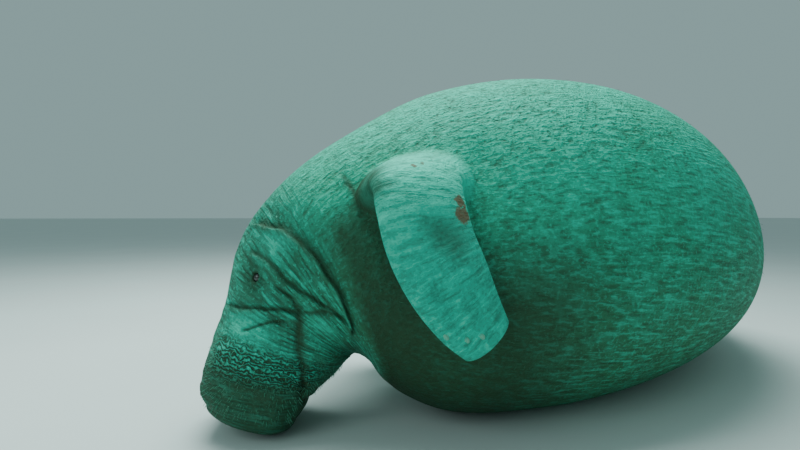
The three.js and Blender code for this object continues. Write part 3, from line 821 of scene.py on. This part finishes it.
def draw_flipper(bm, layers, faces, side):
    """Draws a flipper out of a patch of the body's skin, ring by ring."""
    blade = Blade(side)
    loop = boundary_loop(faces)
    bmesh.ops.delete(bm, geom=faces, context="FACES")
    base = np.array([v.co for v in loop])
    straight = np.array([v[layers["straight"]] for v in loop]) / MM
    middle, _, across, face = blade.frame(BLADE_RINGS["first"])
    x = (base - middle) @ across
    y = (base - middle) @ face
    own = np.unwrap(np.arctan2(y, x))
    spread = np.linspace(0, 2 * math.pi, len(loop), endpoint=False) * np.sign(own[-1] - own[0])
    even = spread + np.mean(own - spread)
    root_straight = straight.mean(axis=0)
    count = BLADE_RINGS["count"]
    places = [(t, 0.0) for t in np.linspace(BLADE_RINGS["first"], 1.0, count)]
    for k in range(1, BLADE_RINGS["tip"] + 1):
        places.append((1.0, math.sin(math.pi / 2 * k / BLADE_RINGS["tip"])))
    current = loop
    far = 0.0
    previous_middle = middle
    fresh = []
    for k, (t, tip) in enumerate(places, start=1):
        edges = [bm.edges.get((current[i], current[(i + 1) % len(current)])) for i in range(len(current))]
        made = bmesh.ops.extrude_edge_only(bm, edges=edges)["geom"]
        new_verts = {v for v in made if isinstance(v, bmesh.types.BMVert)}
        following = []
        for v in current:
            match = next(e.other_vert(v) for e in v.link_edges if e.other_vert(v) in new_verts)
            following.append(match)
        blend = float(ease(k / BLADE_RINGS["blend"]))
        crease = max(share * float(swell((k - ring_at) / wide)) for ring_at, wide, share in ROOT_CREASES)
        armpit = float(ease((ARMPIT["rings"] - k) / ARMPIT["rings_fade"]))
        angles = own * (1 - blend) + even * blend
        ring = blade.ring(t, angles, tip)
        ring = base + (ring - base) * blend
        here, _, _, _ = blade.frame(t)
        far += float(np.linalg.norm(here - previous_middle))
        previous_middle = here
        half = float(blade.half(np.array(min(t, 1.0))))
        thick = float(blade.thick(np.array(min(t, 1.0))))
        along = np.full(len(loop), side * far)
        local = np.stack((half * np.cos(angles), along, thick * np.sin(angles)), axis=1)
        coords = straight * (1 - blend) + (root_straight + local) * blend
        for v, place, c in zip(following, ring, coords):
            v.co = place
            v[layers["straight"]] = c * MM
            # Painted shade of the creases round the root's front, and of the armpit further in front.
            ahead = -np.dot(place - here, across) / half
            creased = crease * float(ease((ahead - CREASE_FRONT["from"]) / CREASE_FRONT["fade"]))
            armpit_shade = ARMPIT["painted_shade"] * armpit * float(ease((ahead - ARMPIT["from"]) / ARMPIT["fade"]))
            v[layers["zones"]] = (0.0, creased, min(1.0, BLADE_RINGS["zone"] * blend))
            v[layers["paint"]] = (armpit_shade, 0.0, 0.0)
        fresh.extend(following)
        current = following
    return loop + fresh[: len(loop) * BLADE_RINGS["smoothed"]]


def smooth_roots(bm, verts, rounds):
    """Rounds the hollow where a flipper meets the body."""
    ring = set(verts)
    for v in verts:
        for e in v.link_edges:
            ring.add(e.other_vert(v))
    for _ in range(rounds):
        bmesh.ops.smooth_vert(
            bm, verts=list(ring), factor=0.5, use_axis_x=True, use_axis_y=True, use_axis_z=True
        )


def cut_at_floor(bm):
    """Takes off what lies below the floor, and closes each cut with a flat."""
    geometry = [*bm.verts, *bm.edges, *bm.faces]
    cut = bmesh.ops.bisect_plane(
        bm, geom=geometry, dist=0.001, plane_co=(0, 0, 0), plane_no=(0, 0, 1), clear_inner=True
    )
    rims = [e for e in cut["geom_cut"] if isinstance(e, bmesh.types.BMEdge) and e.is_boundary]
    bmesh.ops.holes_fill(bm, edges=rims, sides=0)
    for edge in rims:
        edge.smooth = False


def finish_mesh(bm, name, material, replaced=(), smooth=True):
    """Turns a finished bmesh into an object on the body, at the origin."""
    bmesh.ops.recalc_face_normals(bm, faces=bm.faces)
    mesh = bpy.data.meshes.new(name)
    bm.to_mesh(mesh)
    bm.free()
    if smooth:
        mesh.polygons.foreach_set("use_smooth", [True] * len(mesh.polygons))
    mesh.materials.append(material)
    piece = bpy.data.objects.new(name, mesh)
    bpy.context.scene.collection.objects.link(piece)
    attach(piece, BODY)
    if replaced:
        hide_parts(*replaced)


def bristle_places(field, rng):
    """Random places and sizes, on both sides of the body, for one field of bristles."""
    rows = []
    for _ in range(field["count"]):
        at = rng.uniform(*field["at"])
        turn = rng.uniform(*field["turn"])
        size = rng.uniform(*BRISTLE_SIZES)
        for side in (1, -1):
            rows.append((at + rng.uniform(-BRISTLE_SCATTER, BRISTLE_SCATTER), side * turn, size))
    return np.array(rows).T


def draw_bristles(bm, group, longest):
    """Sets tapered bristles in the skin, and maps each to a small patch where its root is."""
    rng = random.Random(group["seed"])
    bake = bm.loops.layers.uv.new("OFBake")
    for field in group["fields"]:
        at, turn, size = bristle_places(field, rng)
        roots = rough_skin(at, turn)
        lies = rough_skin(at + group["lie"], turn) - roots
        lies /= np.linalg.norm(lies, axis=1)[:, None]
        lies += np.array([
            (rng.uniform(-BRISTLE_LEAN, BRISTLE_LEAN), rng.uniform(-BRISTLE_LEAN, BRISTLE_LEAN),
             -BRISTLE_DROOP)
            for _ in at
        ])
        ways = skin_normals(at, turn) * field["stand"] + lies * (1 - field["stand"])
        ways /= np.linalg.norm(ways, axis=1)[:, None]
        lengths = longest * field["long"] * size
        tips = roots + ways * lengths[:, None]
        for k in np.nonzero(np.minimum(tips[:, 2], roots[:, 2]) > BRISTLE_FLOOR)[0]:
            length = lengths[k] + BRISTLE_ROOT
            thick = field["radius"] * size[k]
            made = bmesh.ops.create_cone(
                bm, cap_ends=True, segments=group["sides"], radius1=thick,
                radius2=thick * BRISTLE_TAPER, depth=length,
            )
            spin = Vector((0, 0, 1)).rotation_difference(Vector(ways[k])).to_matrix().to_4x4()
            middle = roots[k] + ways[k] * (length / 2 - BRISTLE_ROOT) + SHIFT
            place = Matrix.Scale(MM, 4) @ Matrix.Translation(Vector(middle)) @ spin
            bmesh.ops.transform(bm, matrix=place, verts=made["verts"])
            centre = Vector((at[k] / LENGTH, (turn[k] + 180) / 360))
            for vert in made["verts"]:
                shift = (vert.co - Vector(middle * MM)) * PATCH_ON_MAP / (length * MM)
                for loop in vert.link_loops:
                    loop[bake].uv = centre + Vector((shift.x, shift.y + shift.z)) / 2


class Wire:
    """A shader socket that Python sums can use: each sum adds its own Math node."""

    def __init__(self, shader, socket):
        self.shader = shader
        self.socket = socket

    def math(self, operation, *others):
        return self.shader.node(
            "ShaderNodeMath", {"operation": operation}, dict(enumerate((self, *others)))
        )

    def __add__(self, other):
        return self.math("ADD", other)

    def __radd__(self, other):
        return self.math("ADD", other)

    def __sub__(self, other):
        return self.math("SUBTRACT", other)

    def __rsub__(self, other):
        return self.shader.node("ShaderNodeMath", {"operation": "SUBTRACT"}, {0: other, 1: self})

    def __mul__(self, other):
        return self.math("MULTIPLY", other)

    def __rmul__(self, other):
        return self.math("MULTIPLY", other)

    def step(self, low, high):
        """Rises smoothly from 0 at low to 1 at high."""
        return self.shader.node(
            "ShaderNodeMapRange", {"interpolation_type": "SMOOTHSTEP"},
            {"Value": self, "From Min": low, "From Max": high, "To Min": 0.0, "To Max": 1.0},
        )


class Shader:
    """The nodes of one material."""

    def __init__(self, name):
        self.material = bpy.data.materials.new(name)
        self.material.use_nodes = True
        self.tree = self.material.node_tree
        self.tree.nodes.clear()

    def node(self, kind, settings=None, inputs=None, output=0):
        """Adds a node, makes its settings, fills its sockets and gives one of its outputs."""
        made = self.tree.nodes.new(kind)
        for key, value in (settings or {}).items():
            setattr(made, key, value)
        for key, value in (inputs or {}).items():
            self.feed(made.inputs[key], value)
        return Wire(self, made.outputs[output]) if len(made.outputs) else None

    def feed(self, socket, value):
        """Links a wire to a socket, or sets the socket's own value."""
        if isinstance(value, Wire):
            self.tree.links.new(value.socket, socket)
        else:
            socket.default_value = value

    def mix(self, factor, first, second):
        """A colour between two others."""
        first, second = (
            c if isinstance(c, Wire) else (*c[:3], 1.0) for c in (first, second)
        )
        return self.node(
            "ShaderNodeMix", {"data_type": "RGBA", "blend_type": "MIX"},
            {0: factor, 6: first, 7: second}, output=2,
        )

    def scaled(self, vector, scale):
        """A vector with each axis stretched."""
        return self.node(
            "ShaderNodeMapping", {"vector_type": "POINT"},
            {"Vector": vector, "Scale": scale},
        )

    def noise(self, vector, scale, detail=2.0, roughness=0.5):
        return self.node(
            "ShaderNodeTexNoise", {},
            {"Vector": vector, "Scale": scale, "Detail": detail, "Roughness": roughness},
        )

    def parts(self, vector):
        """The three parts of a vector or a colour."""
        return [self.node("ShaderNodeSeparateXYZ", {}, {0: vector}, output=k) for k in range(3)]

    def wave(self, vector, scale, distortion, detail_scale):
        """Evenly spaced wavy bands across the first axis of a vector."""
        return self.node(
            "ShaderNodeTexWave", {"wave_type": "BANDS", "bands_direction": "X"},
            {
                "Vector": vector, "Scale": scale, "Distortion": distortion,
                "Detail": 2.0, "Detail Scale": detail_scale,
            },
            output=1,
        )

    def away(self, vector, middle):
        """Distance from a point."""
        return self.node(
            "ShaderNodeVectorMath", {"operation": "DISTANCE"}, {0: vector, 1: middle}, output=1
        )

    def bump(self, height, distance):
        return self.node("ShaderNodeBump", {}, {"Height": height, "Distance": distance, "Strength": 1.0})

    def surface(self, **inputs):
        """The Principled surface that ends the material."""
        names = {key: key.replace("_", " ").title().replace("Ior", "IOR") for key in inputs}
        bsdf = self.node("ShaderNodeBsdfPrincipled", {}, {names[k]: v for k, v in inputs.items()})
        self.node("ShaderNodeOutputMaterial", {}, {"Surface": bsdf})
        return self.material


def blade_spots(spots):
    """Middles and sizes, in metres, of spots given by place along the left blade, angle and size."""
    blade = Blade(1)
    places = []
    for t, degrees, size in spots:
        place = blade.ring(t, np.array([math.radians(degrees)]))[0]
        places.append((((place + SHIFT) * MM).tolist(), size * MM))
    return places


def skin_material(colours):
    """Creased grey-green hide with painted light and shade: fine lines along the body and round the head,
    pale flippers.
    """
    s = Shader("manatee_hide")
    straight = s.node("ShaderNodeAttribute", {"attribute_name": "straight"}, output=1)
    head, crease, blade = s.parts(s.node("ShaderNodeAttribute", {"attribute_name": "zones"}, output=1))
    painted_shade, ridges, pale = s.parts(s.node("ShaderNodeAttribute", {"attribute_name": "paint"}, output=1))
    place = s.node("ShaderNodeTexCoord", {}, output=3)
    _, _, height = s.parts(place)

    body_lines = s.noise(s.scaled(straight, BODY_LINES), 1.0, 3.0, 0.6)
    head_lines = s.noise(s.scaled(straight, HEAD_LINES), 1.0, 2.5, 0.6)
    head_waves = s.wave(s.scaled(straight, HEAD_WAVES[0]), *HEAD_WAVES[1])
    lip_waves = s.wave(s.scaled(straight, LIP_WAVES[0]), *LIP_WAVES[1])
    blade_lines = s.noise(s.scaled(straight, BLADE_LINES), 1.0, 3.0, 0.6)
    pebbles, grain, clouds, mottle = (s.noise(place, *PATTERNS[name]) for name in PATTERNS)
    trunk = (1 - head) * (1 - blade)
    rough_back = height.step(0.48, 0.72)
    lines = body_lines * trunk + head_lines * head + blade_lines * blade
    broken = mottle.step(0.38, 0.58)
    head_folds = head_waves.step(0.40, 0.10) * broken * head * (1 - ridges) * (1 - 0.7 * pale)
    relief = lines * RELIEF["lines"] - head_folds * RELIEF["folds"]
    relief = relief + lip_waves * ridges * RELIEF["ridges"]
    relief = relief + pebbles * (rough_back * RELIEF["back_pebbles"] + RELIEF["pebbles"])
    relief = relief + grain * RELIEF["grain"]
    normal = s.bump(relief, 1.0)

    # Painted light: the top of the body lighter. Painted shade: the low flank and the belly darker.
    base = s.mix(height.step(0.30, 0.80), colours.flank, colours.back)
    base = s.mix((1 - height.step(0.04, 0.46)) * 0.75, base, colours.belly)
    base = s.mix(head * 0.85, base, colours.head)
    # Painted highlights on lit places of the head.
    base = s.mix(pale * 0.50, base, colours.pale)
    base = s.mix(clouds.step(0.44, 0.70) * 0.30, base, colours.algae)
    base = s.mix(blade, base, colours.flipper)
    # Painted light from above: the top of each flipper lighter.
    base = s.mix(blade * height.step(0.36, 0.64) * 0.75, base, colours.pale)
    base = s.mix(mottle.step(0.46, 0.66) * 0.14, base, colours.pale)
    base = s.mix(mottle.step(0.50, 0.32) * 0.18, base, colours.shade)
    # Painted shade in the valleys of the fine lines and pebbles, painted highlights on their ridges.
    base = s.mix(lines.step(0.47, 0.37) * (0.42 - 0.12 * blade), base, colours.shade)
    base = s.mix(lines.step(0.53, 0.64) * 0.34, base, colours.pale)
    base = s.mix(pebbles.step(0.46, 0.34) * (0.22 + 0.48 * rough_back), base, colours.shade)
    base = s.mix(pebbles.step(0.55, 0.66) * 0.25, base, colours.pale)
    # Painted shade in the head's wavy folds; painted highlights on the lip ridges, painted shade between
    # them.
    base = s.mix(head_folds * 0.55, base, colours.shade)
    base = s.mix(lip_waves.step(0.55, 0.95) * ridges * 0.38, base, colours.pale)
    base = s.mix(lip_waves.step(0.56, 0.16) * ridges * 0.88, base, colours.shade)
    # Painted shade under the head, neck and chest, round the eye and mouth, in folds and creases, and in
    # the flippers' wrist hollows.
    base = s.mix(painted_shade * 0.92, base, colours.shade)
    base = s.mix(crease * 0.85, base, colours.shade)
    for middle, size in blade_spots(DENTS):
        base = s.mix(s.away(place, middle).step(size, 0.0) * 0.55, base, colours.shade)
    cells = s.node("ShaderNodeTexVoronoi", {}, {"Vector": place, "Scale": SPECK_SCALE})
    colour = s.node("ShaderNodeTexVoronoi", {}, {"Vector": place, "Scale": SPECK_SCALE}, output=1)
    chance, _, _ = s.parts(colour)
    base = s.mix(cells.step(0.040, 0.026) * chance.step(0.55, 0.60) * 0.75, base, colours.speck)
    ragged = (mottle - 0.5) * 0.022 + (pebbles - 0.5) * 0.022
    for middle, size in blade_spots(RUST_SPOTS):
        edge = (s.away(place, middle) + ragged).step(size * 1.1, size * 0.75)
        base = s.mix(edge * (0.62 + 0.5 * pebbles), base, colours.rust)
    roughness = 0.60 + 0.22 * mottle
    return s.surface(base_color=base, roughness=roughness, normal=normal, specular_ior_level=0.2)


def eye_material(colours):
    """A dark, wet eye."""
    s = Shader("wet_eye")
    place = s.node("ShaderNodeTexCoord", {}, output=3)
    cloud = s.noise(place, 160, 2.0)
    base = s.mix(cloud.step(0.4, 0.7) * 0.5, colours.eye, EYE_CLOUD)
    return s.surface(base_color=base, roughness=0.09, coat_weight=0.6, coat_roughness=0.05)


def nail_material(colours):
    """Worn horn, mixed with the flipper's colour along a fine grain."""
    s = Shader("worn_nail")
    place = s.node("ShaderNodeTexCoord", {}, output=3)
    grain = s.noise(s.scaled(place, (1, 1, 0.25)), 620, 2.0)
    base = s.mix(grain.step(0.35, 0.7), colours.nail, colours.flipper)
    return s.surface(base_color=base, roughness=0.45, normal=s.bump(grain, 0.0004))


def bristle_material(colours):
    """Pale stiff hair."""
    s = Shader("pale_bristle")
    place = s.node("ShaderNodeTexCoord", {}, output=3)
    tint = s.noise(place, 60, 1.0)
    base = s.mix(tint, colours.bristle, colours.flank)
    return s.surface(base_color=base, roughness=0.5)


def floor_material():
    """A plain pale floor with faint clouds."""
    s = Shader("pale_floor")
    place = s.node("ShaderNodeTexCoord", {}, output=3)
    cloud = s.noise(place, 1.4, 3.0)
    base = s.mix(cloud, *FLOOR_COLOURS)
    return s.surface(base_color=base, roughness=0.85)


def hide_colour(name, description, default):
    """A colour that the user can change."""
    return FloatVectorProperty(
        name=name, description=description, subtype="COLOR", size=3, min=0, max=1, default=default,
    )


class ManateeColours(bpy.types.PropertyGroup):
    """Colours of the manatee's skin, eyes, nails and bristles."""

    # Back: painted light, lighter where light falls from above.
    back: hide_colour("Back", "Hide on the back, where light falls", (0.020, 0.460, 0.310))
    flank: hide_colour("Flank", "Hide on the flank", (0.018, 0.250, 0.145))
    head: hide_colour("Head", "Hide on the head", (0.020, 0.190, 0.125))
    flipper: hide_colour("Flipper", "Hide on the fore-flippers", (0.020, 0.380, 0.270))
    # Folds: painted shade in folds, creases, hollows and under the body; also the darker spots of the
    # random mottle.
    shade: hide_colour("Folds", "Hide in the folds and on the underside", (0.022, 0.047, 0.021))
    # Belly: painted shade, darker low on the flank and under the body.
    belly: hide_colour("Belly", "Hide low on the flank and under the body", (0.040, 0.118, 0.046))
    # Pale: painted highlights on lit places, ridges and flipper tops; also the paler spots of the random
    # mottle.
    pale: hide_colour("Pale", "Worn, lit hide on ridges and flippers", (0.045, 0.760, 0.540))
    algae: hide_colour("Algae", "Greener film in patches", (0.022, 0.235, 0.110))
    rust: hide_colour("Rust", "Rust-brown spots on the left flipper", (0.150, 0.072, 0.034))
    speck: hide_colour("Specks", "Small pale specks", (0.200, 0.600, 0.460))
    eye: hide_colour("Eye", "Eyeball", (0.008, 0.010, 0.008))
    nail: hide_colour("Nail", "Horn of the nails", (0.14, 0.40, 0.27))
    bristle: hide_colour("Bristle", "Bristles of the muzzle", (0.075, 0.25, 0.16))


class ManateeSizes(bpy.types.PropertyGroup):
    """Sizes that a user would change."""

    root_rounds: IntProperty(
        name="Root smoothing", description="Rounds of smoothing where the flippers grow out",
        default=2, min=0, max=30,
    )
    bristle_length: FloatProperty(
        name="Bristle length", description="Longest bristle of the muzzle", subtype="DISTANCE",
        default=0.012, min=0.002, max=0.04,
    )
    camera_lens: FloatProperty(
        name="Lens", description="Focal length of the camera in millimetres", default=23.985,
        min=10, max=200,
    )


def settings():
    return bpy.context.scene.manatee_sizes, bpy.context.scene.manatee_colours


class ManateeSkin(bpy.types.Operator):
    """Makes the manatee's skin, from the snout to the tail, with both fore-flippers"""

    bl_idname = "manatee.skin"
    bl_label = "Skin"

    def execute(self, context):
        sizes, colours = settings()
        bm = bmesh.new()
        layers = {name: bm.verts.layers.float_vector.new(name) for name in SKIN_LAYERS}
        patches = draw_body(bm, layers)
        roots = [draw_flipper(bm, layers, patches[side], side) for side in (1, -1)]
        for root in roots:
            smooth_roots(bm, root, sizes.root_rounds)
        bmesh.ops.remove_doubles(bm, verts=bm.verts, dist=WELD_DISTANCE)
        bmesh.ops.translate(bm, verts=bm.verts, vec=Vector(SHIFT))
        cut_at_floor(bm)
        bmesh.ops.scale(bm, verts=bm.verts, vec=(MM, MM, MM))
        finish_mesh(bm, "skin", skin_material(colours), FLESH)
        return {"FINISHED"}


class ManateeEyes(bpy.types.Operator):
    """Makes the two small dark eyes"""

    bl_idname = "manatee.eyes"
    bl_label = "Eyes"

    def execute(self, context):
        _, colours = settings()
        material = eye_material(colours)
        for side, word in ((1, "left"), (-1, "right")):
            bm = bmesh.new()
            bmesh.ops.create_uvsphere(bm, u_segments=32, v_segments=20, radius=EYE["radius"] * MM)
            bmesh.ops.translate(bm, verts=bm.verts, vec=Vector((eye_centre(side) + SHIFT) * MM))
            finish_mesh(bm, f"{word}_eyeball", material, (f"{word}_eye",))
        return {"FINISHED"}


class ManateeNails(bpy.types.Operator):
    """Makes the three nails at the end of each flipper"""

    bl_idname = "manatee.nails"
    bl_label = "Nails"

    def execute(self, context):
        _, colours = settings()
        material = nail_material(colours)
        for side, word in ((1, "left"), (-1, "right")):
            blade = Blade(side)
            bm = bmesh.new()
            for along, across_share in NAILS:
                _, tangent, across, face = blade.frame(along)
                angle = math.acos(across_share)
                place = blade.ring(along, np.array([angle]))[0]
                made = bmesh.ops.create_uvsphere(bm, u_segments=18, v_segments=12, radius=1)
                axes = Matrix((across, face, tangent)).transposed().to_4x4()
                size = Matrix.Diagonal((*NAIL_HALVES, 1))
                turn = Matrix.Translation(Vector(place + SHIFT)) @ axes @ size
                bmesh.ops.transform(bm, matrix=Matrix.Scale(MM, 4) @ turn, verts=made["verts"])
            finish_mesh(bm, f"{word}_nails", material)
        return {"FINISHED"}


class ManateeBristles(bpy.types.Operator):
    """Makes the stiff bristles of the muzzle and the sparse hairs of the body"""

    bl_idname = "manatee.bristles"
    bl_label = "Bristles"

    def execute(self, context):
        sizes, colours = settings()
        material = bristle_material(colours)
        for group in BRISTLE_FIELDS:
            bm = bmesh.new()
            draw_bristles(bm, group, sizes.bristle_length / MM)
            finish_mesh(bm, group["name"], material, smooth=False)
        return {"FINISHED"}


class ManateeStage(bpy.types.Operator):
    """Makes the pale floor, the soft light and the camera"""

    bl_idname = "manatee.stage"
    bl_label = "Stage"

    def execute(self, context):
        sizes, _ = settings()
        bm = bmesh.new()
        bmesh.ops.create_grid(bm, x_segments=1, y_segments=1, size=FLOOR_HALF)
        mesh = bpy.data.meshes.new("floor")
        bm.to_mesh(mesh)
        bm.free()
        mesh.materials.append(floor_material())
        floor = bpy.data.objects.new("floor", mesh)
        context.scene.collection.objects.link(floor)

        world = bpy.data.worlds.new("pale_room")
        world.use_nodes = True
        room = world.node_tree.nodes["Background"]
        room.inputs["Color"].default_value = ROOM_COLOUR
        room.inputs["Strength"].default_value = ROOM_LIGHT
        context.scene.world = world
        for setting in LAMPS:
            light = bpy.data.lights.new(setting["name"], "AREA")
            light.size = setting["size"]
            light.energy = setting["power"]
            light.color = LAMP_COLOUR
            lamp = bpy.data.objects.new(setting["name"], light)
            lamp.location = setting["place"]
            lamp.rotation_euler = setting["turn"]
            context.scene.collection.objects.link(lamp)

        camera = bpy.data.cameras.new("photo_view")
        camera.sensor_width = CAMERA["sensor"]
        camera.lens = sizes.camera_lens
        eye = bpy.data.objects.new("photo_view", camera)
        eye.location = ((SHIFT + np.array(CAMERA["place"])) * MM).tolist()
        eye.rotation_euler = (math.radians(90 - CAMERA["down"]), 0, math.radians(CAMERA["turn"]))
        context.scene.collection.objects.link(eye)
        context.scene.camera = eye
        return {"FINISHED"}


PIECES = (ManateeSkin, ManateeEyes, ManateeNails, ManateeBristles, ManateeStage)


class ManateePanel(bpy.types.Panel):
    """Lists the manatee's pieces in the sidebar"""

    bl_idname = "VIEW3D_PT_manatee"
    bl_label = "Manatee"
    bl_space_type = "VIEW_3D"
    bl_region_type = "UI"
    bl_category = "Manatee"

    def draw(self, context):
        for piece in PIECES:
            self.layout.operator(piece.bl_idname)
        for group in (context.scene.manatee_sizes, context.scene.manatee_colours):
            box = self.layout.box()
            for name in group.__annotations__:
                box.prop(group, name)


CLASSES = (ManateeColours, ManateeSizes, *PIECES, ManateePanel)


def register():
    for cls in CLASSES:
        bpy.utils.register_class(cls)
    bpy.types.Scene.manatee_colours = PointerProperty(type=ManateeColours)
    bpy.types.Scene.manatee_sizes = PointerProperty(type=ManateeSizes)


def unregister():
    del bpy.types.Scene.manatee_sizes
    del bpy.types.Scene.manatee_colours
    for cls in reversed(CLASSES):
        bpy.utils.unregister_class(cls)


def main():
    register()
    bpy.ops.manatee.skin()
    bpy.ops.manatee.eyes()
    bpy.ops.manatee.nails()
    bpy.ops.manatee.bristles()
    bpy.ops.manatee.stage()


if __name__ == "__main__":
    main()
